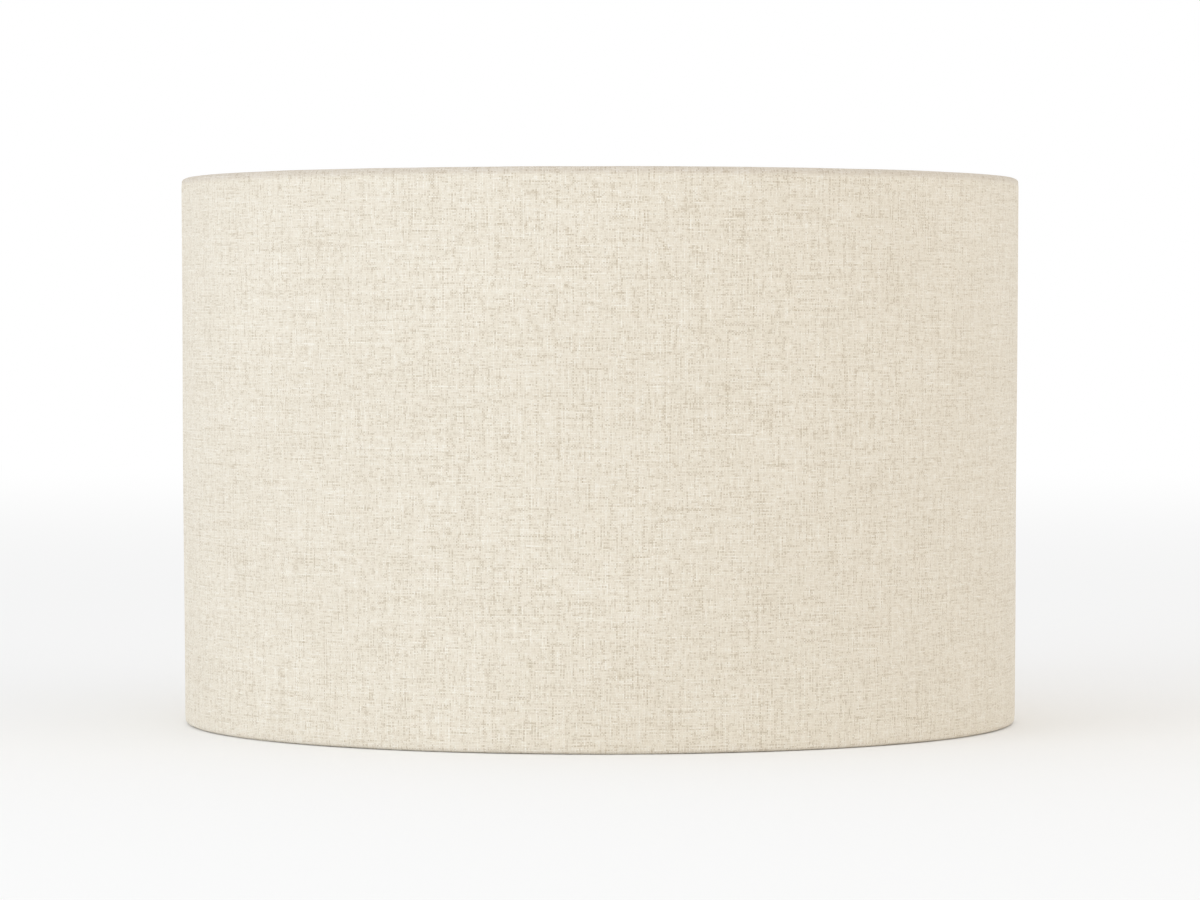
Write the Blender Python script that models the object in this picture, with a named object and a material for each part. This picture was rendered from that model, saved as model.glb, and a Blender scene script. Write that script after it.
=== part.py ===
# Drum lamp shade: linen laminated to a stiff liner and rolled over two wire rings, with a recessed
# three-arm carrier in the bottom ring and a lift-out reducing ring. Metres, +Z up, front at -Y.
# The shade stands on its bottom hem, and its axis is the Z axis.
import math

import bmesh
import bpy
from mathutils import Matrix, Vector

MM = 0.001

# Drum, over the fabric
TOP_DIAMETER = 450 * MM
BOTTOM_DIAMETER = 447 * MM
HEIGHT = 292 * MM

# Sheets, and the air that stands for the glue between them
FABRIC = 0.4 * MM
LINER = 0.4 * MM
TAPE = 0.15 * MM
GLUE = 0.2 * MM

# Wire carrier
RING_WIRE = 4.0 * MM
ARM_WIRE = 4.0 * MM
ARM_COUNT = 3
FIRST_ARM_ANGLE = 30  # degrees from +X
ARM_STUB = 12 * MM  # level run inward from the ring
ARM_SLOPE_RUN = 46 * MM  # radial length of the rise
ARM_BEND_RADIUS = 9 * MM
ARM_WELD_GAP = 0.2 * MM

# Fitter ring for an E27 lampholder, and the reducing ring for an E14 one
FITTER_RISE = 28 * MM  # its underside above the bottom hem
FITTER_OUTER = 64 * MM
FITTER_BORE = 42 * MM
FITTER_THICK = 2.0 * MM
FITTER_EDGE = 0.3 * MM
ARM_OVERLAP = 5 * MM  # arm lying under the fitter ring's margin
REDUCER_FLANGE = 50 * MM
REDUCER_FLANGE_THICK = 2.0 * MM
REDUCER_BARREL = 41.4 * MM
REDUCER_WALL = 1.6 * MM
REDUCER_BORE = 29 * MM
REDUCER_EDGE = 0.4 * MM
REST_GAP = 0.3 * MM

# Side seam at the back, where one end of the laminate laps over the other
SEAM_ANGLE = 107.5  # degrees from +X, the middle of the lap
SEAM_LAP = 14 * MM
SEAM_FOLD = 9 * MM  # fabric turned back under the liner's end
SEAM_FOLD_TRIM = 8 * MM  # the fold stops this far short of each hem
SEAM_EASE = 40 * MM  # length over which the lapping end rises off the drum
SEAM_TAPE_WIDTH = 10 * MM
END_GAP = 0.6 * MM  # between a hem's two ends, at the seam

# Hem: the fabric goes round the ring and its cut edge is tucked in above it
HEM_STEPS = 7  # per half turn; an odd number leaves a level facet to stand on
HEM_TUCK_STEPS = 2  # past the half turn
NOTCH_WIDTH = 8 * MM  # cut in the hem for an arm

# Facets
STATION_STEP = 5  # degrees between the drum's stations
STATION_CLEAR = 0.3  # degrees; an evenly spaced station nearer than this to a cut is left out
STATION_MATCH = 0.03  # degrees; stations nearer than this count as the same one
WIRE_SIDES = 8
TURNED_STEPS = 64
BEND_STEPS = 4
MERGE_DISTANCE = 0.001 * MM
SMOOTH_ANGLE = math.radians(40)

# Radii and heights that follow
wire = RING_WIRE / 2
half_out = wire + GLUE + TAPE + GLUE + LINER + GLUE + FABRIC  # ring centre to the drum's face
half_in = wire + GLUE + TAPE + GLUE + FABRIC  # ring centre to the hem's face
hem_turn = 180 / HEM_STEPS
low_ring_z = half_in * math.cos(math.radians(hem_turn / 2))
high_ring_z = HEIGHT - low_ring_z
low_ring_radius = BOTTOM_DIAMETER / 2 - half_out
high_ring_radius = TOP_DIAMETER / 2 - half_out
mean_radius = (TOP_DIAMETER + BOTTOM_DIAMETER) / 4
seam_step = 4 * GLUE + TAPE + 2 * FABRIC + LINER  # rise of the lapping end
arm_angles = [FIRST_ARM_ANGLE + k * 360 / ARM_COUNT for k in range(ARM_COUNT)]


def degrees_along(length):
    return math.degrees(length / mean_radius)


# The strip runs anticlockwise from its tucked-under end to its lapping end
strip_start = SEAM_ANGLE - degrees_along(SEAM_LAP) / 2
hem_start = SEAM_ANGLE + degrees_along(SEAM_LAP) / 2
strip_end = hem_start + 360


def make_material(name, colour, roughness, metallic=0.0):
    material = bpy.data.materials.new(name)
    material.use_nodes = True
    shader = material.node_tree.nodes["Principled BSDF"]
    shader.inputs["Base Color"].default_value = (*colour, 1)
    shader.inputs["Roughness"].default_value = roughness
    shader.inputs["Metallic"].default_value = metallic
    material.diffuse_color = (*colour, 1)
    return material


def add_object(name, data, material, parent):
    obj = bpy.data.objects.new(name, data)
    data.materials.append(material)
    bpy.context.scene.collection.objects.link(obj)
    obj.parent = parent
    return obj


def finish_mesh(name, bm):
    mesh = bpy.data.meshes.new(name)
    bm.to_mesh(mesh)
    bm.free()
    mesh.shade_smooth()
    mesh.set_sharp_from_angle(angle=SMOOTH_ANGLE)
    return mesh


def add_solidify(obj, thickness):
    # The modelled face is the sheet's outer one, so the thickness goes inward
    modifier = obj.modifiers.new("Thickness", "SOLIDIFY")
    modifier.thickness = thickness
    modifier.offset = -1
    modifier.use_even_offset = True


def on_drum(angle, radius, z):
    turn = math.radians(angle)
    return Vector((radius * math.cos(turn), radius * math.sin(turn), z))


def wall_radius(z):
    # The drum's face tapers in a straight line between the two ring heights
    share = (z - low_ring_z) / (high_ring_z - low_ring_z)
    return BOTTOM_DIAMETER / 2 + share * (TOP_DIAMETER - BOTTOM_DIAMETER) / 2


def seam_rise(angle):
    # How far the laminate stands off the drum, which is only where it comes up to its lapping end
    ease = degrees_along(SEAM_EASE)
    share = (angle - (strip_start + 360 - ease)) / ease
    share = min(max(share, 0), 1)
    return seam_step * share * share * (3 - 2 * share)


def shared_cuts():
    # Angles where any sheet is cut, so that stacked sheets keep the same facets
    half_notch = degrees_along(NOTCH_WIDTH) / 2
    cuts = [strip_start, hem_start, hem_start + degrees_along(END_GAP)]
    for angle in arm_angles:
        cuts += [angle - half_notch, angle + half_notch]
    return cuts


def stations_between(start, end):
    # Evenly spaced stations and the shared cuts from start to end, in degrees
    cuts = [cut + turn * 360 for cut in shared_cuts() for turn in range(-1, 3)]
    cuts += [start, end]
    even = [k * STATION_STEP for k in range(int(start / STATION_STEP), int(end / STATION_STEP) + 2)]
    even = [angle for angle in even if min(abs(angle - cut) for cut in cuts) > STATION_CLEAR]
    return sorted({round(angle, 6) for angle in even + cuts if start <= angle <= end})


def hem_point(angle, step, ring_radius, ring_z):
    # A point of the hem's face, step half-turn parts round the ring from its outer side
    turn = math.radians(step * hem_turn)
    across = half_out + seam_rise(angle) if math.cos(turn) > 0 else half_in
    return on_drum(angle, ring_radius + across * math.cos(turn), ring_z + half_in * math.sin(turn))


def sheet_grid(columns, rows, place):
    # A flat grid, moved point by point to place(column, row)
    bm = bmesh.new()
    bmesh.ops.create_grid(bm, x_segments=columns - 1, y_segments=rows - 1, size=1)
    for vert in bm.verts:
        column = round((vert.co.x + 1) / 2 * (columns - 1))
        row = round((vert.co.y + 1) / 2 * (rows - 1))
        vert.co = place(column, row)
    return bm


def cut_from_grid(bm, columns, rows, keep):
    # Deletes the grid's faces for which keep(column, row) is false; faces are in rows of columns
    gone = [face for index, face in enumerate(bm.faces) if not keep(index % columns, index // columns)]
    bmesh.ops.delete(bm, geom=gone, context="FACES")


def in_notch(angle):
    half_notch = degrees_along(NOTCH_WIDTH) / 2
    return any(abs((angle - arm + 180) % 360 - 180) < half_notch for arm in arm_angles)


def cover_fabric(material, parent):
    # The linen: wall, both hems, the trimmed end under the lap, and the fold round the liner's end
    hem_turns = HEM_STEPS + HEM_TUCK_STEPS
    angles = stations_between(strip_start, strip_end)
    fold_in = 2 * FABRIC + 2 * GLUE + LINER
    places = [(angle, 0) for angle in angles]
    places += [(strip_end, fold_in), (strip_end - degrees_along(SEAM_FOLD), fold_in)]
    hem_from = hem_start + degrees_along(END_GAP)
    fold_heights = [low_ring_z + SEAM_FOLD_TRIM, high_ring_z - SEAM_FOLD_TRIM]
    low_wall_row, high_wall_row = hem_turns, hem_turns + len(fold_heights) + 1
    rows = high_wall_row + hem_turns + 1

    def place(column, row):
        angle, inward = places[column]
        if row <= low_wall_row:
            point = hem_point(angle, row - low_wall_row, low_ring_radius, low_ring_z)
        elif row >= high_wall_row:
            point = hem_point(angle, row - high_wall_row, high_ring_radius, high_ring_z)
        else:
            z = fold_heights[row - low_wall_row - 1]
            point = on_drum(angle, wall_radius(z) + seam_rise(angle), z)
        return point - on_drum(angle, inward, 0)

    def keep(column, row):
        if column >= len(angles) - 1:
            return row == low_wall_row + 1
        if low_wall_row <= row < high_wall_row:
            return True
        left, right = angles[column], angles[column + 1]
        notched = row < hem_turns - (HEM_STEPS + 1) // 2 and in_notch((left + right) / 2)
        return left >= hem_from - STATION_MATCH and not notched

    bm = sheet_grid(len(places), rows, place)
    cut_from_grid(bm, len(places) - 1, rows - 1, keep)
    obj = add_object("cover_fabric", finish_mesh("cover_fabric", bm), material, parent)
    add_solidify(obj, FABRIC)


def liner_sheet(material, parent):
    # The stiff backing, rolled up with the linen and stopping inside the linen's fold
    end = strip_end - degrees_along(FABRIC + GLUE)
    angles = stations_between(strip_start, end)
    heights = [low_ring_z, high_ring_z]

    def place(column, row):
        z = heights[row]
        radius = wall_radius(z) - FABRIC - GLUE + seam_rise(angles[column])
        return on_drum(angles[column], radius, z)

    bm = sheet_grid(len(angles), len(heights), place)
    obj = add_object("liner_sheet", finish_mesh("liner_sheet", bm), material, parent)
    add_solidify(obj, LINER)


def seam_tape(material, parent):
    # Double-sided tape between the trimmed end and the lapping one
    margin = degrees_along(SEAM_LAP - SEAM_TAPE_WIDTH) / 2
    angles = [strip_start + margin, hem_start - margin]
    heights = [low_ring_z + SEAM_TAPE_WIDTH, high_ring_z - SEAM_TAPE_WIDTH]

    def place(column, row):
        return on_drum(angles[column], wall_radius(heights[row]) + GLUE + TAPE, heights[row])

    bm = sheet_grid(len(angles), len(heights), place)
    obj = add_object("seam_tape", finish_mesh("seam_tape", bm), material, parent)
    add_solidify(obj, TAPE)


def ring_tape(name, ring_radius, ring_z, first_side, last_side, material, parent):
    # Double-sided tape over the sides of a ring that the hem is pressed onto
    start = hem_start + degrees_along(END_GAP)
    angles = stations_between(start, start + 360 - degrees_along(END_GAP))
    reach = wire + GLUE + TAPE

    def place(column, row):
        turn = math.tau * (first_side + row) / WIRE_SIDES
        radius = ring_radius + reach * math.cos(turn)
        return on_drum(angles[column], radius, ring_z + reach * math.sin(turn))

    bm = sheet_grid(len(angles), last_side - first_side + 1, place)
    obj = add_object(name, finish_mesh(name, bm), material, parent)
    add_solidify(obj, TAPE)


def spun_mesh(name, profile, steps):
    # A closed outline of (radius, height) points turned once round the Z axis
    bm = bmesh.new()
    verts = [bm.verts.new((radius, 0, z)) for radius, z in profile]
    edges = [bm.edges.new(pair) for pair in zip(verts, verts[1:] + verts[:1])]
    axis = Vector((0, 0, 1))
    bmesh.ops.spin(bm, geom=verts + edges, axis=axis, angle=math.tau, steps=steps, use_merge=True)
    bmesh.ops.remove_doubles(bm, verts=bm.verts, dist=MERGE_DISTANCE)
    bmesh.ops.recalc_face_normals(bm, faces=bm.faces)
    return finish_mesh(name, bm)


def wire_ring(name, ring_radius, ring_z, material, parent):
    # A hoop of round wire on the same stations as the sheets, closed by merging its two ends
    angles = stations_between(0, 360)

    def place(column, row):
        turn = math.tau * row / WIRE_SIDES
        radius = ring_radius + wire * math.cos(turn)
        return on_drum(angles[column], radius, ring_z + wire * math.sin(turn))

    bm = sheet_grid(len(angles), WIRE_SIDES + 1, place)
    bmesh.ops.remove_doubles(bm, verts=bm.verts, dist=MERGE_DISTANCE)
    bmesh.ops.recalc_face_normals(bm, faces=bm.faces)
    add_object(name, finish_mesh(name, bm), material, parent)


def rounded_route(corners, radius):
    # The corner points with each inner corner replaced by an arc of this radius
    route = [corners[0]]
    for before, corner, after in zip(corners, corners[1:], corners[2:]):
        into = (corner - before).normalized()
        out = (after - corner).normalized()
        bend = into.angle(out)
        start = corner - into * radius * math.tan(bend / 2)
        centre = start + (out - into * into.dot(out)).normalized() * radius
        axis = into.cross(out)
        for k in range(BEND_STEPS + 1):
            turned = Matrix.Rotation(bend * k / BEND_STEPS, 3, axis) @ (start - centre)
            route.append(centre + turned)
    route.append(corners[-1])
    return route


def spider_arm(number, angle, material, parent):
    # One bent wire, butted to the bottom ring and lying under the fitter ring's margin
    level = FITTER_RISE - REST_GAP - ARM_WIRE / 2
    outer = low_ring_radius - wire - ARM_WELD_GAP
    slope_top = outer - ARM_STUB - ARM_SLOPE_RUN
    runs = [(outer, low_ring_z), (outer - ARM_STUB, low_ring_z), (slope_top, level)]
    runs.append((FITTER_OUTER / 2 - ARM_OVERLAP, level))
    name = f"spider_arm_{number}"
    curve = bpy.data.curves.new(name, "CURVE")
    curve.dimensions = "3D"
    curve.bevel_depth = ARM_WIRE / 2
    curve.bevel_resolution = 4
    curve.use_fill_caps = True
    route = rounded_route([on_drum(angle, radius, z) for radius, z in runs], ARM_BEND_RADIUS)
    spline = curve.splines.new("POLY")
    spline.points.add(len(route) - 1)
    for point, place in zip(spline.points, route):
        point.co = (*place, 1)
    add_object(name, curve, material, parent)


def fitter_ring(material, parent):
    # Flat stamped ring that the lampholder is clamped to
    inner, outer = FITTER_BORE / 2, FITTER_OUTER / 2
    low, high = FITTER_RISE, FITTER_RISE + FITTER_THICK
    profile = [(inner, low + FITTER_EDGE), (inner + FITTER_EDGE, low), (outer - FITTER_EDGE, low)]
    profile += [(outer, low + FITTER_EDGE), (outer, high - FITTER_EDGE), (outer - FITTER_EDGE, high)]
    profile += [(inner + FITTER_EDGE, high), (inner, high - FITTER_EDGE)]
    add_object("fitter_ring", spun_mesh("fitter_ring", profile, TURNED_STEPS), material, parent)


def reducer_ring(material, parent):
    # Moulded hat-shaped ring: flange on the fitter ring, barrel through it, web round the small bore
    seat = FITTER_RISE + FITTER_THICK + REST_GAP
    web = FITTER_RISE - seat  # the web's underside is level with the fitter ring's
    bore, barrel, flange = REDUCER_BORE / 2, REDUCER_BARREL / 2, REDUCER_FLANGE / 2
    top = REDUCER_FLANGE_THICK
    profile = [(bore, web), (barrel, web), (barrel, 0), (flange, 0), (flange, top - REDUCER_EDGE)]
    profile += [(flange - REDUCER_EDGE, top), (barrel - REDUCER_WALL, top)]
    profile += [(barrel - REDUCER_WALL, web + REDUCER_WALL), (bore, web + REDUCER_WALL)]
    mesh = spun_mesh("reducer_ring", profile, TURNED_STEPS)
    obj = add_object("reducer_ring", mesh, material, parent)
    obj.location.z = seat  # its origin is on the axis, at the flange's seat


def build():
    for obj in list(bpy.data.objects):
        bpy.data.objects.remove(obj)
    parent = bpy.data.objects.new("shade_assembly", None)
    bpy.context.scene.collection.objects.link(parent)
    linen = make_material("linen", (0.80, 0.75, 0.64), 0.9)
    white_liner = make_material("white_liner", (0.86, 0.85, 0.82), 0.45)
    clear_tape = make_material("clear_tape", (0.78, 0.76, 0.70), 0.35)
    white_wire = make_material("white_wire", (0.83, 0.83, 0.81), 0.4)
    white_plastic = make_material("white_plastic", (0.85, 0.85, 0.83), 0.3)
    cover_fabric(linen, parent)
    liner_sheet(white_liner, parent)
    seam_tape(clear_tape, parent)
    half_way = WIRE_SIDES // 2
    below_arms = 1 - half_way  # the bottom tape stops one side short, below the arms
    ring_tape("bottom_ring_tape", low_ring_radius, low_ring_z, below_arms, 0, clear_tape, parent)
    ring_tape("top_ring_tape", high_ring_radius, high_ring_z, 0, half_way, clear_tape, parent)
    wire_ring("bottom_ring", low_ring_radius, low_ring_z, white_wire, parent)
    wire_ring("top_ring", high_ring_radius, high_ring_z, white_wire, parent)
    for number, angle in enumerate(arm_angles, start=1):
        spider_arm(number, angle, white_wire, parent)
    fitter_ring(white_wire, parent)
    reducer_ring(white_plastic, parent)


build()
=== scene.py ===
import math

import bmesh
import bpy
from mathutils import Matrix, Vector, noise


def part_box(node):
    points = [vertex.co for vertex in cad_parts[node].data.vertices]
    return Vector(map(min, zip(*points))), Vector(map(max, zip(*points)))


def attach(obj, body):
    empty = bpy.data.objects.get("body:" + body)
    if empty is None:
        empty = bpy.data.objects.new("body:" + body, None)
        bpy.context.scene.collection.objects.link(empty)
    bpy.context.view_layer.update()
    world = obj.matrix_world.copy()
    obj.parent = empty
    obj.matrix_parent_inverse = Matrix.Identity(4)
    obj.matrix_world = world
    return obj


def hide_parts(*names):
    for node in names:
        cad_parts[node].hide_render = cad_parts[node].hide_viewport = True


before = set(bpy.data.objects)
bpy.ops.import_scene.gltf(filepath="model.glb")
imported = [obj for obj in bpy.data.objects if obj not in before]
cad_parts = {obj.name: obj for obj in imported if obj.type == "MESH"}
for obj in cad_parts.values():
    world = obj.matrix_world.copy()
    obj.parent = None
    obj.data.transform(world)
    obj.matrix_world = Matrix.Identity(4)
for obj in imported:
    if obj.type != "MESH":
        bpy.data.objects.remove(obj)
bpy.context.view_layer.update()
scene = bpy.context.scene
print("frame loaded")


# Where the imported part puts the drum, its hoops and its seam

def hoopOf(node):
    low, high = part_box(node)
    wire = (high.z - low.z) / 2
    radius = (high.x - low.x) / 2 - wire
    return {"radius": radius, "z": (high.z + low.z) / 2, "wire": wire}


topHoop = hoopOf("top_ring")
lowHoop = hoopOf("bottom_ring")
drumLow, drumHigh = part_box("cover_fabric")
faceOut = drumHigh.x - topHoop["radius"]  # hoop centre to the cloth's face
tapeMiddle = sum(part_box("seam_tape"), Vector()) / 2
seamTurn = math.atan2(tapeMiddle.y, tapeMiddle.x)
meanRadius = (topHoop["radius"] + lowHoop["radius"]) / 2 + faceOut
armTurns = []
for node in ("spider_arm_1", "spider_arm_2", "spider_arm_3"):
    middle = sum(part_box(node), Vector()) / 2
    armTurns.append(math.atan2(middle.y, middle.x))


def around(turn, radius, z):
    return Vector((radius * math.cos(turn), radius * math.sin(turn), z))


def ease(share):
    share = min(max(share, 0), 1)
    return share * share * (3 - 2 * share)


def faceRadius(z):  # of the drum's straight wall
    share = (z - lowHoop["z"]) / (topHoop["z"] - lowHoop["z"])
    return lowHoop["radius"] + faceOut + share * (topHoop["radius"] - lowHoop["radius"])


def smoothNoise(turn, z, size, seed):  # the same value again after a full turn
    place = around(turn, meanRadius, z) / size
    return noise.noise(place + Vector((seed, 2 * seed, 3 * seed)))


def turnsApart(one, other):
    return abs((one - other + math.pi) % math.tau - math.pi)


# The rolled-up laminate: linen outside, liner inside

laminate = {
    "lap": 0.014,  # one end over the other, at the seam
    "rise": 0.00185,  # how far the lapping end stands off the drum
    "easeLength": 0.045,
    "wave": 0.00045,  # the drum is never quite round between its hoops
    "waveSize": 0.12,
    "waveClear": 0.05,  # flat beside the seam
    "columns": 540,
}


def seamRise(turn):  # turn counts on from the strip's tucked-under end
    length = (turn - lapStart - math.tau) * meanRadius
    return laminate["rise"] * ease(1 + length / laminate["easeLength"])


def wave(turn, z):
    share = (z - lowHoop["z"]) / (topHoop["z"] - lowHoop["z"])
    besideSeam = turnsApart(turn, seamTurn) * meanRadius / laminate["waveClear"]
    held = math.sin(math.pi * min(max(share, 0), 1)) * ease(besideSeam)
    return laminate["wave"] * held * smoothNoise(turn, z, laminate["waveSize"], 4.2)


halfLap = laminate["lap"] / 2 / meanRadius
lapStart = seamTurn - halfLap
lapEnd = seamTurn + halfLap + math.tau


def evenTurns(start, end, count, cuts=()):
    # Evenly spaced turns, with those nearest to each cut moved onto it
    turns = [start + (end - start) * k / count for k in range(count + 1)]
    for cut in cuts:
        nearest = min(range(1, count), key=lambda k: abs(turns[k] - cut))
        turns[nearest] = cut
    return turns


def gridOnto(name, columns, rows, place, keep, flatAt):
    # A flat grid cut to the piece's pattern, then each point moved to its place.
    # The UV map keeps the flat size
    bm = bmesh.new()
    bmesh.ops.create_grid(bm, x_segments=columns - 1, y_segments=rows - 1, size=1)
    uvLayer = bm.loops.layers.uv.new("flat")
    spots = {}
    for vert in bm.verts:
        column = round((vert.co.x + 1) / 2 * (columns - 1))
        spots[vert] = (column, round((vert.co.y + 1) / 2 * (rows - 1)))
    gone = []
    for face in bm.faces:
        column = min(spots[vert][0] for vert in face.verts)
        row = min(spots[vert][1] for vert in face.verts)
        if not keep(column, row):
            gone.append(face)
        for loop in face.loops:
            loop[uvLayer].uv = flatAt(*spots[loop.vert])
    for vert in bm.verts:
        vert.co = place(*spots[vert])
    bmesh.ops.delete(bm, geom=gone, context="FACES")
    mesh = bpy.data.meshes.new(name)
    bm.to_mesh(mesh)
    bm.free()
    mesh.shade_smooth()
    obj = bpy.data.objects.new(name, mesh)
    scene.collection.objects.link(obj)
    return obj


def thicken(obj, thickness):
    wall = obj.modifiers.new("wall", "SOLIDIFY")
    wall.thickness = thickness
    wall.offset = -1
    wall.use_even_offset = True


liner = {
    "thick": 0.0004,
    "behind": 0.00055,  # from the linen's face to the liner's
    "shortBy": 0.0006,  # stops this far short of the lapping end
    "columns": 300,
    "rows": 26,
}
linerInside = faceOut - liner["behind"] - liner["thick"]  # hoop centre to the liner's inner face

linen = {
    "thick": 0.0004,
    "aroundHoop": math.radians(338),  # how far the hem goes round the wire before its edge is tucked in
    "hemSteps": 23,
    "rollIn": 0.00297,  # hoop centre to the roll's inner side
    "rollUp": lowHoop["z"] - 0.00004,  # and to its crest
    "crevice": 0.00003,  # left between the tucked edge and the liner
    "dip": 0.00022,  # the cloth sinks in where the liner stops
    "dipWidth": 0.0009,
    "bulge": 0.00012,
    "bulgeAt": 0.0014,  # past the liner's edge, and how wide
    "bulgeWidth": 0.001,
    "shapedUntil": 0.0024,  # no dip or bulge beyond this
    "ripple": 0.00034,  # puckers where the hem is gathered to the smaller inner side
    "rippleSize": 0.0055,
    "rippleMean": 0.3,
    "gatherFrom": 1.6,  # radians round the wire where the puckers start, and over how much more they grow
    "gatherOver": 1.6,
    "uneven": 0.00014,  # the roll itself is uneven
    "unevenSize": 0.03,
    "fineRows": 7,  # close rows beside each hem, for the dip
    "fineStep": 0.0008,
    "wallRows": 20,
    "foldBack": 0.009,  # turned back under the liner at the lapping end
    "foldDepth": 0.0014,
    "foldUntil": math.radians(50),  # of the way round the hoop
    "hemLap": 0.004,  # the hem's two ends overlap at the seam
    "hemLapRise": 0.00046,
    "hemLapEase": 0.014,
    "foldBends": 4,
    "foldSteps": 3,
    "notch": 0.0066,
    "notchFrom": 1.9,  # radians round the wire
}


def hemPoint(turn, swing, hoop, upward):
    # swing goes from 0 on the drum's face, over the edge, to the tucked-in edge
    outward = swing < math.pi / 2
    lapping = linen["hemLapRise"] * ease(1 + (turn - lapEnd) * meanRadius / linen["hemLapEase"])
    across = faceOut + seamRise(turn) if outward else linen["rollIn"] + lapping
    pucker = linen["rippleMean"] + smoothNoise(turn, upward * 0.1, linen["rippleSize"], 7.7)
    gathered = ease((swing - linen["gatherFrom"]) / linen["gatherOver"]) * pucker
    uneven = smoothNoise(turn, upward * 0.2, linen["unevenSize"], 1.3) * ease(swing)
    grown = 1 + (linen["ripple"] * gathered + linen["uneven"] * uneven) / linen["rollIn"]
    up = (linen["rollUp"] + lapping) * math.sin(swing)
    out = across * math.cos(swing) * grown
    if swing > math.pi:
        under = linen["hemLapRise"] if turn < seamTurn + halfLap else 0
        out = min(out, linerInside - linen["crevice"] - under)
    return around(turn, hoop["radius"] + out + edgeShape(up), hoop["z"] + upward * up * grown)


def edgeShape(beyond):
    # beyond is the height past the liner's edge, negative on the wall
    dip = linen["dip"] * math.exp(-(beyond / linen["dipWidth"]) ** 2)
    bulge = linen["bulge"] * math.exp(-((beyond - linen["bulgeAt"]) / linen["bulgeWidth"]) ** 2)
    return (bulge - dip) if beyond < linen["shapedUntil"] else 0


def coverRows():
    # (zone, value) for each row of the cloth, from its bottom cut edge to its top one
    swings = [linen["aroundHoop"] * k / linen["hemSteps"] for k in range(1, linen["hemSteps"] + 1)]
    fine = [linen["fineStep"] * k for k in range(linen["fineRows"])]
    low = lowHoop["z"] + fine[-1]
    high = topHoop["z"] - fine[-1]
    walls = [low + (high - low) * k / linen["wallRows"] for k in range(1, linen["wallRows"])]
    heights = [lowHoop["z"] + f for f in fine] + walls + [topHoop["z"] - f for f in reversed(fine)]
    rows = [("low", swing) for swing in reversed(swings)]
    rows += [("wall", z) for z in heights]
    rows += [("high", swing) for swing in swings]
    return rows


def coverPoint(turn, row):
    zone, value = row
    if zone == "low":
        return hemPoint(turn, value, lowHoop, -1)
    if zone == "high":
        return hemPoint(turn, value, topHoop, 1)
    beyond = -min(value - lowHoop["z"], topHoop["z"] - value)
    radius = faceRadius(value) + seamRise(turn) + wave(turn, value) + edgeShape(beyond)
    return around(turn, radius, value)


def makeCover():
    rows = coverRows()
    half = linen["notch"] / 2 / meanRadius
    arms = [(arm - lapStart) % math.tau + lapStart for arm in armTurns]
    hemStart = seamTurn + halfLap - linen["hemLap"] / meanRadius
    cuts = [hemStart] + [arm + side for arm in arms for side in (-half, half)]
    turns = evenTurns(lapStart, lapEnd, laminate["columns"], cuts)
    # past the lapping end the cloth goes round the liner's edge and back under it
    depth, bends, steps = linen["foldDepth"], linen["foldBends"], linen["foldSteps"]
    columns = [(turn, 0) for turn in turns]
    for k in range(1, bends + 1):
        bend = math.pi * k / bends
        past = depth / 2 * math.sin(bend) / meanRadius
        columns.append((lapEnd + past, depth / 2 * (1 - math.cos(bend))))
    for k in range(1, steps + 1):
        columns.append((lapEnd - linen["foldBack"] * k / steps / meanRadius, depth))
    flatRows = [0]
    for one, other in zip(rows, rows[1:]):
        flatRows.append(flatRows[-1] + (coverPoint(0, other) - coverPoint(0, one)).length)
    flatColumns = [turn * meanRadius for turn, inward in columns[:len(turns)]]
    for k in range(len(turns), len(columns)):
        step = math.dist((columns[k][0] * meanRadius, columns[k][1]),
                         (columns[k - 1][0] * meanRadius, columns[k - 1][1]))
        flatColumns.append(flatColumns[-1] + step)

    def place(column, row):
        turn, inward = columns[column]
        held = min(turn, lapEnd)
        onward = (around(turn, meanRadius, 0) - around(held, meanRadius, 0))
        return coverPoint(held, rows[row]) + onward - around(turn, inward, 0)

    def keep(column, row):
        zone, value = rows[row]
        nextZone = rows[row + 1][0]
        turn = columns[column][0]
        if column >= len(turns) - 1:
            swings = [0 if where == "wall" else angle for where, angle in (rows[row], rows[row + 1])]
            return max(swings) < linen["foldUntil"]
        if zone == nextZone == "wall":
            return True
        if turn < hemStart - 1e-6:
            return False
        beside = (turn + columns[column + 1][0]) / 2
        swing = value if zone == "low" else 0
        atArm = min(turnsApart(beside, arm) for arm in arms) < half
        return not (swing > linen["notchFrom"] and atArm)

    obj = gridOnto("linen_cover", len(columns), len(rows), place, keep,
                   lambda column, row: (flatColumns[column], flatRows[row]))
    thicken(obj, linen["thick"])
    return obj, flatColumns[-1] - flatColumns[0], flatRows[-1]


def makeLiner():
    turns = evenTurns(lapStart, lapEnd - liner["shortBy"] / meanRadius, liner["columns"])
    tall = topHoop["z"] - lowHoop["z"]
    heights = [lowHoop["z"] + tall * k / liner["rows"] for k in range(liner["rows"] + 1)]

    def place(column, row):
        z = heights[row]
        radius = faceRadius(z) + seamRise(turns[column]) + wave(turns[column], z) - liner["behind"]
        return around(turns[column], radius, z)

    obj = gridOnto("liner_film", len(turns), len(heights), place, lambda column, row: True,
                   lambda column, row: (turns[column] * meanRadius, heights[row]))
    thicken(obj, liner["thick"])
    return obj, (turns[-1] - turns[0]) * meanRadius, heights[-1] - heights[0]


cover, coverLength, coverWidth = makeCover()
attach(cover, "shade")
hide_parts("cover_fabric")
print("cover rolled", round(coverLength, 3), round(coverWidth, 3))

linerFilm, linerLength, linerWidth = makeLiner()
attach(linerFilm, "shade")
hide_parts("liner_sheet")
print("liner rolled", round(linerLength, 3), round(linerWidth, 3))


# The wire carrier and the two rings at its middle

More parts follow.
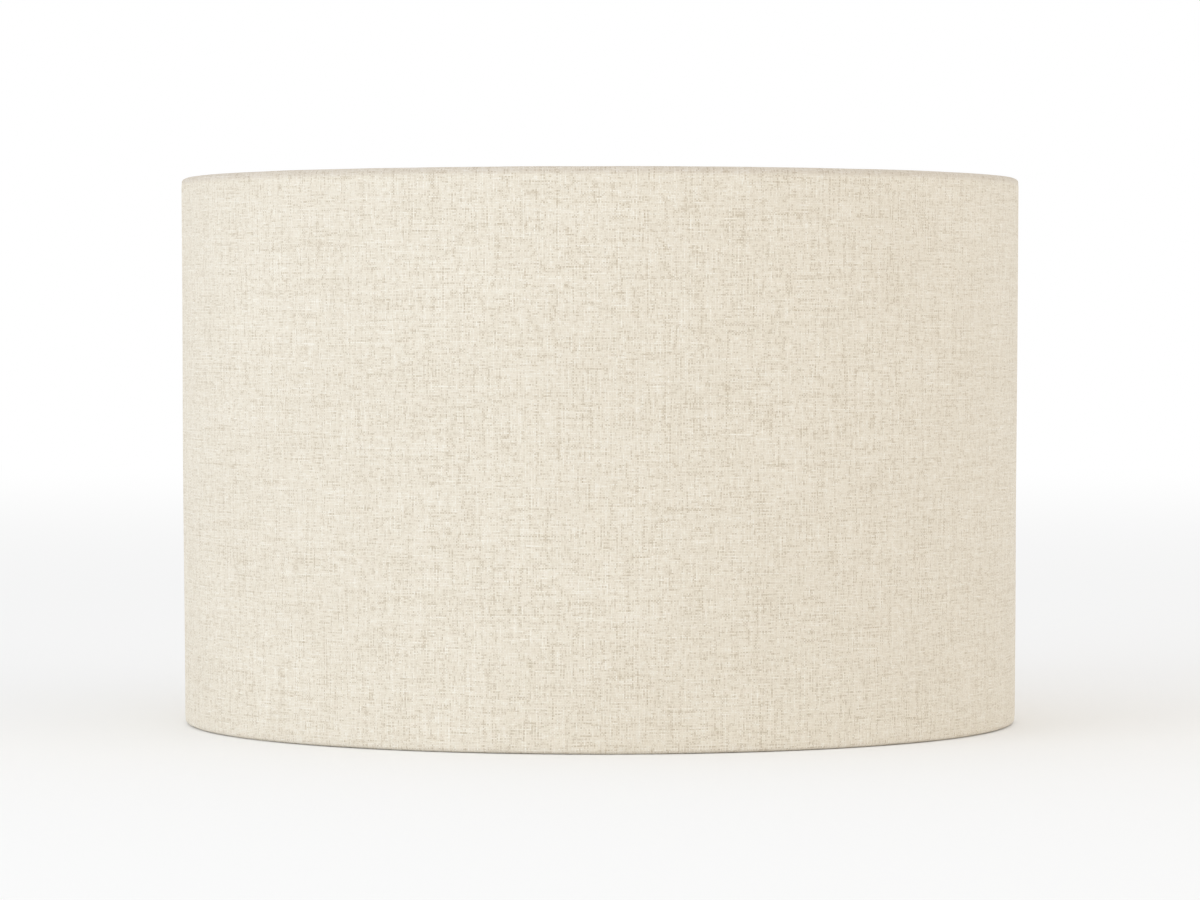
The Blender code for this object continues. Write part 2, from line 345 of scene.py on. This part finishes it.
carrier = {
    "stub": 0.012,  # level run inward from the bottom hoop
    "slopeRun": 0.046,
    "bend": 0.009,
    "bendSteps": 9,
    "sides": 24,
    "underFitter": 0.005,
    "pressedLength": 0.0055,  # the end is pressed flat to be welded under the fitter ring
    "pressedEase": 0.005,
    "pressedHigh": 0.76,
    "pressedWide": 1.28,
    "intoHoop": 0.0004,  # the wire's outer end lies this far inside the hoop
    "intoPlate": 0.00005,  # and its pressed end this far inside the fitter plate
    "fineFrom": 0.016,  # closer points from here to the tip, at these distances left
    "endSteps": (0.0105, 0.009, 0.0075, 0.006, 0.003, 0.0006, 0.0002, 0),
    "tipLength": 0.0006,
    "tipTaper": 0.4,
    "sharp": math.radians(40),
}
fitterLow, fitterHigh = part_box("fitter_ring")


def bentRoute(corners, radius, steps):
    # Straight runs between the corners, each inner corner rounded into an arc
    route = [corners[0]]
    for before, corner, after in zip(corners, corners[1:], corners[2:]):
        into, out = (corner - before).normalized(), (after - corner).normalized()
        bend = into.angle(out)
        start = corner - into * radius * math.tan(bend / 2)
        centre = start + (out - into * into.dot(out)).normalized() * radius
        axis = into.cross(out)
        for k in range(steps + 1):
            route.append(centre + Matrix.Rotation(bend * k / steps, 3, axis) @ (start - centre))
    route.append(corners[-1])
    return route


def sweepWire(bm, route, sizes, sides):
    # A round section drawn along a route in the XZ plane, with its half width and half height at each point
    stations = []
    across = Vector((0, 1, 0))
    for k, place in enumerate(route):
        along = (route[min(k + 1, len(route) - 1)] - route[max(k - 1, 0)]).normalized()
        wide, high = sizes[k]
        station = Matrix((across * wide, along.cross(across) * high, along)).transposed().to_4x4()
        station.translation = place
        stations.append(station)
    start = bmesh.ops.create_circle(bm, cap_ends=True, segments=sides, radius=1)["verts"]
    bmesh.ops.transform(bm, matrix=stations[0], verts=start)
    cap = start[0].link_faces[0]
    for before, after in zip(stations, stations[1:]):
        made = bmesh.ops.extrude_face_region(bm, geom=[cap])["geom"]
        cap = next(part for part in made if isinstance(part, bmesh.types.BMFace))
        bmesh.ops.transform(bm, matrix=after @ before.inverted(), verts=list(cap.verts))


def asPiece(name, bm):
    bmesh.ops.recalc_face_normals(bm, faces=bm.faces)
    mesh = bpy.data.meshes.new(name)
    bm.to_mesh(mesh)
    bm.free()
    mesh.shade_smooth()
    mesh.set_sharp_from_angle(angle=carrier["sharp"])
    obj = bpy.data.objects.new(name, mesh)
    scene.collection.objects.link(obj)
    return obj


def makeArm(name, turn):
    wire = lowHoop["wire"]
    outer = lowHoop["radius"] - wire + carrier["intoHoop"]
    end = fitterHigh.x - carrier["underFitter"]
    level = fitterLow.z - wire * carrier["pressedHigh"] + carrier["intoPlate"]
    slopeTop = outer - carrier["stub"] - carrier["slopeRun"]
    corners = [Vector((outer, 0, lowHoop["z"])),
               Vector((outer - carrier["stub"], 0, lowHoop["z"])),
               Vector((slopeTop, 0, level)),
               Vector((end + carrier["fineFrom"], 0, level))]
    route = bentRoute(corners, carrier["bend"], carrier["bendSteps"])
    route += [Vector((end + left, 0, level)) for left in carrier["endSteps"]]
    sizes = []
    for place in route:
        left = place.x - end
        unpressed = ease((left - carrier["pressedLength"]) / carrier["pressedEase"])
        tip = 1 - carrier["tipTaper"] * ease(1 - left / carrier["tipLength"])
        sizes.append([wire * tip * (pressed + (1 - pressed) * unpressed)
                      for pressed in (carrier["pressedWide"], carrier["pressedHigh"])])
    bm = bmesh.new()
    sweepWire(bm, route, sizes, carrier["sides"])
    bmesh.ops.rotate(bm, matrix=Matrix.Rotation(turn, 3, "Z"), verts=bm.verts)
    return asPiece(name, bm)


welds = {
    "atHoop": (0.0036, 0.0056, 0.0047),  # inward, along the hoop, upright
    "atFitter": (0.0050, 0.0022, 0.0020),
    "lump": 0.14,
    "lumpScale": 3,
    "fromHoop": 0.0002,  # inward of the hoop's inner side
    "fromRim": 0.0027,  # inward of the fitter plate's edge
    "below": 0.0004,  # under the fitter plate
}


def addNugget(bm, inward, aside, z, turn, size):
    made = bmesh.ops.create_icosphere(bm, subdivisions=3, radius=0.5)["verts"]
    for vert in made:
        seed = Vector((inward * 900, turn * 7, aside * 900))  # each lump its own
        vert.co *= 1 + welds["lump"] * noise.noise(vert.co * welds["lumpScale"] + seed)
    bmesh.ops.scale(bm, vec=Vector(size), verts=made)
    bmesh.ops.translate(bm, vec=Vector((inward, aside, z)), verts=made)
    bmesh.ops.rotate(bm, matrix=Matrix.Rotation(turn, 3, "Z"), verts=made)


def makeWelds():
    bm = bmesh.new()
    besideHoop = lowHoop["radius"] - lowHoop["wire"] - welds["fromHoop"]
    underRim, plateZ = fitterHigh.x - welds["fromRim"], fitterLow.z - welds["below"]
    for turn in armTurns:
        addNugget(bm, besideHoop, 0, lowHoop["z"], turn, welds["atHoop"])
        for side in (-1, 1):
            aside = side * lowHoop["wire"] * carrier["pressedWide"]
            addNugget(bm, underRim, aside, plateZ, turn, welds["atFitter"])
    return asPiece("weld_nuggets", bm)


turned = {
    "steps": 144,
    "edge": 0.0004,
    "edgeSegments": 3,
    "weld": 0.00001,
    "fitterBore": 0.021,
    "reducerFlange": 0.002,  # thickness
    "reducerBarrel": 0.0207,
    "reducerWall": 0.0016,
    "reducerBore": 0.0145,
}


def makeTurned(name, outline):
    # An outline of (radius, height) turned about the drum's axis, with its edges rounded off
    bm = bmesh.new()
    verts = [bm.verts.new((radius, 0, z)) for radius, z in outline]
    edges = [bm.edges.new((verts[k - 1], verts[k])) for k in range(len(verts))]
    bmesh.ops.spin(bm, geom=verts + edges, cent=(0, 0, 0), axis=(0, 0, 1), angle=math.tau,
                   steps=turned["steps"], use_merge=True, use_duplicate=False)
    bmesh.ops.remove_doubles(bm, verts=bm.verts, dist=turned["weld"])
    bmesh.ops.recalc_face_normals(bm, faces=bm.faces)
    corners = [edge for edge in bm.edges if edge.calc_face_angle(0) > carrier["sharp"]]
    bmesh.ops.bevel(bm, geom=corners, offset=turned["edge"], segments=turned["edgeSegments"],
                    profile=0.5, affect="EDGES", material=-1)
    return asPiece(name, bm)


def makeFitter():
    outer, bore = fitterHigh.x, turned["fitterBore"]
    return makeTurned("fitter_plate", [(bore, fitterLow.z), (outer, fitterLow.z),
                                       (outer, fitterHigh.z), (bore, fitterHigh.z)])


def makeReducer():
    low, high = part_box("reducer_ring")
    seat = high.z - turned["reducerFlange"]
    barrel, bore, wall = turned["reducerBarrel"], turned["reducerBore"], turned["reducerWall"]
    return makeTurned("reducer_insert", [
        (bore, low.z), (barrel, low.z), (barrel, seat), (high.x, seat), (high.x, high.z),
        (barrel - wall, high.z), (barrel - wall, low.z + wall), (bore, low.z + wall)])


armPieces = []
for number, turn in enumerate(armTurns, 1):
    arm = makeArm(f"wire_arm_{number}", turn)
    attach(arm, "shade")
    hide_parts(f"spider_arm_{number}")
    armPieces.append(arm)
nuggets = makeWelds()
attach(nuggets, "shade")
fitter = makeFitter()
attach(fitter, "shade")
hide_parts("fitter_ring")
reducer = makeReducer()
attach(reducer, "reducer")
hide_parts("reducer_ring")
print("carrier bent and welded")


# Node helpers

def addNode(tree, kind, **settings):
    node = tree.nodes.new(kind)
    for key, value in settings.items():
        setattr(node, key, value)
    return node


def addMaths(tree, operation, *values):
    node = addNode(tree, "ShaderNodeMath", operation=operation)
    for socket, value in zip(node.inputs, values):
        if isinstance(value, (int, float)):
            socket.default_value = value
        else:
            tree.links.new(value, socket)
    return node.outputs[0]


def combine(tree, x, y, z=0.0):
    node = addNode(tree, "ShaderNodeCombineXYZ")
    for socket, value in zip(node.inputs, (x, y, z)):
        if isinstance(value, (int, float)):
            socket.default_value = value
        else:
            tree.links.new(value, socket)
    return node.outputs[0]


def noiseAt(tree, vector, scale=1.0, detail=2.0, roughness=0.5):
    node = addNode(tree, "ShaderNodeTexNoise")
    tree.links.new(vector, node.inputs["Vector"])
    node.inputs["Scale"].default_value = scale
    node.inputs["Detail"].default_value = detail
    node.inputs["Roughness"].default_value = roughness
    return node.outputs["Fac"]


def blend(tree, share, one, other):
    node = addNode(tree, "ShaderNodeMix", data_type="FLOAT")
    for index, value in ((0, share), (2, one), (3, other)):  # the second socket is the vector share
        tree.links.new(value, node.inputs[index])
    return node.outputs[0]


def remap(tree, value, fromLow, fromHigh, toLow=0.0, toHigh=1.0):
    node = addNode(tree, "ShaderNodeMapRange", interpolation_type="SMOOTHSTEP")
    tree.links.new(value, node.inputs["Value"])
    limits = {"From Min": fromLow, "From Max": fromHigh, "To Min": toLow, "To Max": toHigh}
    for name, number in limits.items():
        node.inputs[name].default_value = number
    return node.outputs["Result"]


def mixColour(tree, share, one, other, mode="MIX"):
    node = addNode(tree, "ShaderNodeMix", data_type="RGBA", blend_type=mode)
    for socket, value in ((node.inputs[0], share), (node.inputs[6], one), (node.inputs[7], other)):
        if isinstance(value, (int, float)):
            socket.default_value = value
        elif isinstance(value, tuple):
            socket.default_value = (*value, 1)
        else:
            tree.links.new(value, socket)
    return node.outputs[2]


def newGroup(name, inputs, outputs):
    tree = bpy.data.node_groups.new(name, "ShaderNodeTree")
    for label, kind, default in inputs:
        socket = tree.interface.new_socket(label, in_out="INPUT", socket_type=kind)
        if default is not None:
            socket.default_value = default
    for label, kind in outputs:
        tree.interface.new_socket(label, in_out="OUTPUT", socket_type=kind)
    return tree, tree.nodes.new("NodeGroupInput").outputs, tree.nodes.new("NodeGroupOutput").inputs


def scaled(tree, value, by, plus=0.0):
    return addMaths(tree, "MULTIPLY_ADD", value, by, plus)


weaveLook = {
    # how often each varies along a yarn, per metre, how fast it changes from yarn to yarn,
    # and its share of the tone
    "strand": {"along": 13.0, "across": 2.9, "seed": 12, "share": 0.20},
    "streak": {"along": 52.0, "across": 3.7, "seed": 0, "share": 0.27},
    "heather": {"along": 260.0, "across": 7.3, "seed": 4, "share": 0.37},
    "fibre": {"along": 380.0, "across": 3.2, "seed": 16, "share": 0.16},  # within one yarn
    "swell": {"along": 62.0, "across": 5.3, "seed": 8},
    "slubFrom": 0.58,
    "slubTo": 0.72,
    "flaxFrom": 0.36,
    "flaxTo": 0.27,
    "sway": 2.2,  # yarns wander a little sideways, by this many widths at most
    "swayDetail": {"detail": 4.0, "roughness": 0.62},
    "swayAlong": 45.0,  # how often, along a yarn and from yarn to yarn, per metre
    "swayAcross": 90.0,
    "lift": 0.6,  # height of a yarn, and how far it goes over or under at a crossing
    "over": 0.4,
    "slubLift": 0.5,
    "edge": 0.12,  # softness where one yarn goes under another
    "nepScale": (300.0, 340.0),
    "nepFrom": 0.72,
    "nepTo": 0.80,
}


def yarnNoise(tree, name, across, along, seed):
    spec = weaveLook[name]
    place = combine(tree, scaled(tree, across, spec["across"]), scaled(tree, along, spec["along"]),
                    seed + spec["seed"])
    return noiseAt(tree, place)


def yarnSet(tree, across, along, seed):
    # One direction of yarns: its rise and fall, its tone, and where it swells into a slub
    number = addMaths(tree, "FLOOR", across)
    crest = addMaths(tree, "SINE", scaled(tree, across, math.pi))
    tone = 0.0
    for name, place in (("heather", number), ("streak", number), ("strand", number), ("fibre", across)):
        tone = scaled(tree, yarnNoise(tree, name, place, along, seed), weaveLook[name]["share"], tone)
    swell = yarnNoise(tree, "swell", number, along, seed)
    fat = remap(tree, swell, weaveLook["slubFrom"], weaveLook["slubTo"])
    return crest, tone, fat, remap(tree, swell, weaveLook["flaxFrom"], weaveLook["flaxTo"])


# Plain-weave cloth. Flat is the cloth's own flat place in metres, so the hems carry the same yarns on
def makeWeaveGroup():
    tree, given, out = newGroup(
        "plainWeave",
        [("Flat", "NodeSocketVector", None), ("Yarn", "NodeSocketFloat", 0.0008),
         ("Slub", "NodeSocketFloat", 1.0)],
        [("Height", "NodeSocketFloat"), ("Tone", "NodeSocketFloat"), ("Flax", "NodeSocketFloat"),
         ("Nep", "NodeSocketFloat")])
    place = addNode(tree, "ShaderNodeSeparateXYZ")
    tree.links.new(given["Flat"], place.inputs[0])
    u, v = place.outputs[0], place.outputs[1]
    often, seldom, wobble = weaveLook["swayAcross"], weaveLook["swayAlong"], weaveLook["swayDetail"]
    sway = noiseAt(tree, combine(tree, scaled(tree, u, often), scaled(tree, v, seldom)), **wobble)
    drift = noiseAt(tree, combine(tree, scaled(tree, u, seldom), scaled(tree, v, often), 5.0), **wobble)
    crossing = []
    for along, other, wander, seed in ((u, v, sway, 0.0), (v, u, drift, 30.0)):
        across = addMaths(tree, "ADD", addMaths(tree, "DIVIDE", along, given["Yarn"]),
                          scaled(tree, wander, weaveLook["sway"]))
        crossing.append(yarnSet(tree, across, other, seed))
    (warp, warpTone, warpFat, warpFlax), (weft, weftTone, weftFat, weftFlax) = crossing
    over = addMaths(tree, "MULTIPLY", warp, weft)  # above zero where the warp is on top
    lifts = []
    for crest, fat, side in ((warp, warpFat, weaveLook["over"]), (weft, weftFat, -weaveLook["over"])):
        height = scaled(tree, over, side, weaveLook["lift"])
        lift = addMaths(tree, "MULTIPLY", addMaths(tree, "ABSOLUTE", crest), height)
        slub = addMaths(tree, "MULTIPLY", scaled(tree, fat, weaveLook["slubLift"]), given["Slub"])
        lifts.append(addMaths(tree, "ADD", lift, slub))
    tree.links.new(addMaths(tree, "MAXIMUM", *lifts), out["Height"])
    onTop = remap(tree, addMaths(tree, "SUBTRACT", *lifts), -weaveLook["edge"], weaveLook["edge"])
    tree.links.new(blend(tree, onTop, weftTone, warpTone), out["Tone"])
    tree.links.new(blend(tree, onTop, weftFlax, warpFlax), out["Flax"])
    nepAlong, nepUp = weaveLook["nepScale"]
    nepPlace = combine(tree, scaled(tree, u, nepAlong), scaled(tree, v, nepUp), 3.0)
    nep = remap(tree, noiseAt(tree, nepPlace), weaveLook["nepFrom"], weaveLook["nepTo"])
    tree.links.new(nep, out["Nep"])
    return tree


weaveGroup = makeWeaveGroup()

linenLook = {
    "base": (0.848, 0.784, 0.669),
    "dark": (0.610, 0.530, 0.413),
    "light": (0.935, 0.895, 0.808),
    "flax": (0.500, 0.410, 0.285),
    "flaxShare": 0.65,
    "nepShare": 0.5,
    "darkFrom": 0.40,  # the tone that is fully dark, plain and fully light
    "middle": 0.50,
    "lightFrom": 0.60,
    # painted shade between the yarns: the heights over which it fades out, and how far it darkens
    "yarnShadeFrom": 0.15,
    "yarnShadeTo": 0.72,
    "yarnShadeShare": 0.4,
    "dyeScale": 9.0,
    "dyeFrom": 0.3,
    "dyeTo": 0.7,
    "dyeShare": 0.08,
    "roughFrom": 0.3,  # the tones between which it goes from rough to smoother
    "roughTo": 0.7,
    "rough": 0.94,
    "smoother": 0.80,
    "bump": 0.00022,
    "bumpStrength": 0.9,
    "fuzzScale": 2600.0,
    "fuzzShare": 0.25,
    "sheen": 0.18,
    "sheenRoughness": 0.55,
    "sheenTint": (1.0, 0.97, 0.9, 1),
    "specular": 0.22,
    "edgeShadeTone": (0.86, 0.84, 0.84),
    "topShadeBand": (-0.0020, 0.0012),  # the painted shade band, from the hoop's centre
    "topShadeReach": (-0.002, 0.001),  # on the drum's outer side only
    # the faint painted shade band at the bottom edge, and how far it darkens
    "lowShadeBand": (-0.0012, 0.0006),
    "lowShadeShare": 0.08,
}


def newMaterial(name):
    material = bpy.data.materials.new(name)
    material.use_nodes = True
    return material, material.node_tree, material.node_tree.nodes["Principled BSDF"]


def makeLinen():
    material, tree, shader = newMaterial("slubLinen")
    flat = addNode(tree, "ShaderNodeUVMap", uv_map="flat").outputs[0]
    weave = addNode(tree, "ShaderNodeGroup", node_tree=weaveGroup)
    tree.links.new(flat, weave.inputs["Flat"])
    tone = weave.outputs["Tone"]
    fromDark = remap(tree, tone, linenLook["darkFrom"], linenLook["middle"])
    toLight = remap(tree, tone, linenLook["middle"], linenLook["lightFrom"])
    colour = mixColour(tree, fromDark, linenLook["dark"], linenLook["base"])
    colour = mixColour(tree, toLight, colour, linenLook["light"])
    flaxShare = scaled(tree, weave.outputs["Flax"], linenLook["flaxShare"])
    colour = mixColour(tree, flaxShare, colour, linenLook["flax"])
    # painted shade: the linen is darkened toward the dark tone in the low places between the yarns
    yarnShadeMask = remap(tree, weave.outputs["Height"], linenLook["yarnShadeFrom"], linenLook["yarnShadeTo"])
    shaded = mixColour(tree, linenLook["yarnShadeShare"], colour, linenLook["dark"])
    colour = mixColour(tree, yarnShadeMask, shaded, colour)
    nepShare = scaled(tree, weave.outputs["Nep"], linenLook["nepShare"])
    colour = mixColour(tree, nepShare, colour, linenLook["flax"])
    # broad soft shifts in the dye
    place = addNode(tree, "ShaderNodeTexCoord").outputs["Object"]
    dye = noiseAt(tree, place, linenLook["dyeScale"], 3.0)
    shift = remap(tree, dye, linenLook["dyeFrom"], linenLook["dyeTo"], 0.0, linenLook["dyeShare"])
    colour = mixColour(tree, shift, colour, linenLook["dark"])
    # painted shade: a darker band along the top rolled edge, on the drum's outer side only, and a faint one
    # along the bottom edge
    height = addNode(tree, "ShaderNodeSeparateXYZ")
    tree.links.new(place, height.inputs[0])
    topShadeFrom, topShadeTo = (topHoop["z"] + offset for offset in linenLook["topShadeBand"])
    top = remap(tree, height.outputs[2], topShadeFrom, topShadeTo)
    flatPlace = combine(tree, height.outputs[0], height.outputs[1])
    reach = addNode(tree, "ShaderNodeVectorMath", operation="LENGTH")
    tree.links.new(flatPlace, reach.inputs[0])
    reachFrom, reachTo = (topHoop["radius"] + offset for offset in linenLook["topShadeReach"])
    top = addMaths(tree, "MULTIPLY", top, remap(tree, reach.outputs["Value"], reachFrom, reachTo))
    lowShadeFrom, lowShadeTo = (lowHoop["z"] + offset for offset in linenLook["lowShadeBand"])
    low = remap(tree, height.outputs[2], lowShadeFrom, lowShadeTo, linenLook["lowShadeShare"], 0.0)
    edges = addMaths(tree, "ADD", top, low)
    colour = mixColour(tree, edges, colour, linenLook["edgeShadeTone"], "MULTIPLY")
    tree.links.new(colour, shader.inputs["Base Color"])
    rough = remap(tree, tone, linenLook["roughFrom"], linenLook["roughTo"],
                  linenLook["rough"], linenLook["smoother"])
    tree.links.new(rough, shader.inputs["Roughness"])
    bump = addNode(tree, "ShaderNodeBump")
    bump.inputs["Distance"].default_value = linenLook["bump"]
    bump.inputs["Strength"].default_value = linenLook["bumpStrength"]
    fuzz = noiseAt(tree, place, linenLook["fuzzScale"])
    raised = scaled(tree, fuzz, linenLook["fuzzShare"], weave.outputs["Height"])
    tree.links.new(raised, bump.inputs["Height"])
    tree.links.new(bump.outputs[0], shader.inputs["Normal"])
    shader.inputs["Sheen Weight"].default_value = linenLook["sheen"]
    shader.inputs["Sheen Roughness"].default_value = linenLook["sheenRoughness"]
    shader.inputs["Sheen Tint"].default_value = linenLook["sheenTint"]
    shader.inputs["Specular IOR Level"].default_value = linenLook["specular"]
    return material


grainLook = {
    "grainDetail": 3.0,
    "cloud": {"scale": 22.0, "detail": 4.0, "roughness": 0.6},
    "tintFrom": 0.35,  # the clouds' range that goes from base to tint
    "roughFrom": 0.3,  # and the one that goes from the lower roughness to the higher
    "upTo": 0.7,
    "grainRough": 0.08,
}


# Fine even grain that powder coat, film and moulded plastic share, on the piece's own place
def makeGrainGroup():
    tree, given, out = newGroup(
        "fineGrain",
        [("Place", "NodeSocketVector", None), ("Scale", "NodeSocketFloat", 900.0)],
        [("Grain", "NodeSocketFloat"), ("Cloud", "NodeSocketFloat")])
    node = addNode(tree, "ShaderNodeTexNoise")
    tree.links.new(given["Place"], node.inputs["Vector"])
    tree.links.new(given["Scale"], node.inputs["Scale"])
    node.inputs["Detail"].default_value = grainLook["grainDetail"]
    tree.links.new(node.outputs["Fac"], out["Grain"])
    tree.links.new(noiseAt(tree, given["Place"], **grainLook["cloud"]), out["Cloud"])
    return tree


grainGroup = makeGrainGroup()


def makeCoated(name, look):
    # One build for the hard finishes: base colour with soft clouds, grain in the bump and the roughness
    material, tree, shader = newMaterial(name)
    place = addNode(tree, "ShaderNodeTexCoord").outputs["Object"]
    grain = addNode(tree, "ShaderNodeGroup", node_tree=grainGroup)
    tree.links.new(place, grain.inputs["Place"])
    grain.inputs["Scale"].default_value = look["grainScale"]
    cloud, fine = grain.outputs["Cloud"], grain.outputs["Grain"]
    tinted = remap(tree, cloud, grainLook["tintFrom"], grainLook["upTo"])
    colour = mixColour(tree, tinted, look["base"], look["tint"])
    tree.links.new(colour, shader.inputs["Base Color"])
    clouded = remap(tree, cloud, grainLook["roughFrom"], grainLook["upTo"],
                    look["roughLow"], look["roughHigh"])
    grained = addMaths(tree, "MULTIPLY", addMaths(tree, "SUBTRACT", fine, 0.5), grainLook["grainRough"])
    tree.links.new(addMaths(tree, "ADD", clouded, grained), shader.inputs["Roughness"])
    bump = addNode(tree, "ShaderNodeBump")
    bump.inputs["Distance"].default_value = look["bump"]
    tree.links.new(fine, bump.inputs["Height"])
    tree.links.new(bump.outputs[0], shader.inputs["Normal"])
    shader.inputs["Specular IOR Level"].default_value = look["specular"]
    return material


finishes = {
    "linerWhite": {"base": (0.90, 0.886, 0.845), "tint": (0.89, 0.872, 0.825), "grainScale": 650.0,
                   "roughLow": 0.38, "roughHigh": 0.46, "bump": 0.00003, "specular": 0.4},
    "powderWhite": {"base": (0.80, 0.80, 0.775), "tint": (0.76, 0.755, 0.72), "grainScale": 1500.0,
                    "roughLow": 0.34, "roughHigh": 0.46, "bump": 0.00003, "specular": 0.5},
    "mouldedWhite": {"base": (0.83, 0.825, 0.80), "tint": (0.80, 0.79, 0.76), "grainScale": 2600.0,
                     "roughLow": 0.24, "roughHigh": 0.34, "bump": 0.000015, "specular": 0.5},
    "tapeFilm": {"base": (0.76, 0.74, 0.68), "tint": (0.72, 0.69, 0.61), "grainScale": 900.0,
                 "roughLow": 0.28, "roughHigh": 0.42, "bump": 0.00002, "specular": 0.5},
}
hardFinish = {name: makeCoated(name, look) for name, look in finishes.items()}

cover.data.materials.append(makeLinen())
linerFilm.data.materials.append(hardFinish["linerWhite"])
reducer.data.materials.append(hardFinish["mouldedWhite"])
for piece in armPieces + [nuggets, fitter]:
    piece.data.materials.append(hardFinish["powderWhite"])


def wear(nodes, material):
    for name in nodes:
        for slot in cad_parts[name].material_slots:
            slot.material = material


wear(["bottom_ring", "top_ring"], hardFinish["powderWhite"])
wear(["seam_tape", "bottom_ring_tape", "top_ring_tape"], hardFinish["tapeFilm"])
print("materials set")


# Floor, light and camera

studio = {
    "floor": (0.95, 0.95, 0.95),
    "floorReach": 60,
    "floorRough": 0.9,
    "fadeFrom": 0.4,  # distance from the axis where the floor starts to burn out to white, and is white
    "fadeTo": 5.0,
    "skyLight": 0.91,
    "litAt": (0, 0, 0.15),
    "key": {"place": (-3.0, -2.5, 0.8), "size": 2.6, "watts": 48, "colour": (0.83, 0.915, 1.0)},
    "fill": {"place": (2.9, -1.6, 0.8), "size": 2.6, "watts": 15, "colour": (1.0, 0.86, 0.64)},
    "eye": (0, -2.70, 0.211),
    "lens": 150,
}


def makeFloor():
    bm = bmesh.new()
    bmesh.ops.create_grid(bm, x_segments=1, y_segments=1, size=studio["floorReach"])
    mesh = bpy.data.meshes.new("floor")
    bm.to_mesh(mesh)
    bm.free()
    floor = bpy.data.objects.new("floor", mesh)
    scene.collection.objects.link(floor)
    material, tree, shader = newMaterial("paleFloor")
    away = addNode(tree, "ShaderNodeVectorMath", operation="LENGTH")
    tree.links.new(addNode(tree, "ShaderNodeTexCoord").outputs["Object"], away.inputs[0])
    fade = remap(tree, away.outputs["Value"], studio["fadeFrom"], studio["fadeTo"])
    tree.links.new(mixColour(tree, fade, studio["floor"], (0, 0, 0)), shader.inputs["Base Color"])
    tree.links.new(mixColour(tree, fade, (0, 0, 0), (1, 1, 1)), shader.inputs["Emission Color"])
    shader.inputs["Emission Strength"].default_value = 1
    shader.inputs["Roughness"].default_value = studio["floorRough"]
    shader.inputs["Specular IOR Level"].default_value = 0
    mesh.materials.append(material)


def makeLight(name, spec):
    lamp = bpy.data.lights.new(name, "AREA")
    lamp.size = spec["size"]
    lamp.energy = spec["watts"]
    lamp.color = spec["colour"]
    obj = bpy.data.objects.new(name, lamp)
    obj.location = spec["place"]
    aim = Vector(studio["litAt"]) - obj.location
    obj.rotation_euler = aim.to_track_quat("-Z", "Y").to_euler()
    scene.collection.objects.link(obj)


def makeSky():
    # White where the camera looks at it, softer as a light
    world = bpy.data.worlds.new("studio")
    world.use_nodes = True
    tree = world.node_tree
    back = tree.nodes["Background"]
    seen = addNode(tree, "ShaderNodeLightPath").outputs["Is Camera Ray"]
    tree.links.new(scaled(tree, seen, 1 - studio["skyLight"], studio["skyLight"]), back.inputs["Strength"])
    back.inputs["Color"].default_value = (1, 1, 1, 1)
    scene.world = world


def makeStudio():
    makeFloor()
    makeSky()
    makeLight("key", studio["key"])
    makeLight("fill", studio["fill"])
    scene.view_settings.view_transform = "Standard"
    camera = bpy.data.objects.new("camera", bpy.data.cameras.new("camera"))
    camera.data.lens = studio["lens"]
    camera.location = studio["eye"]
    aim = Vector((0, 0, (drumLow.z + drumHigh.z) / 2)) - camera.location
    camera.rotation_euler = aim.to_track_quat("-Z", "Y").to_euler()
    scene.collection.objects.link(camera)
    scene.camera = camera


makeStudio()
print("studio ready")
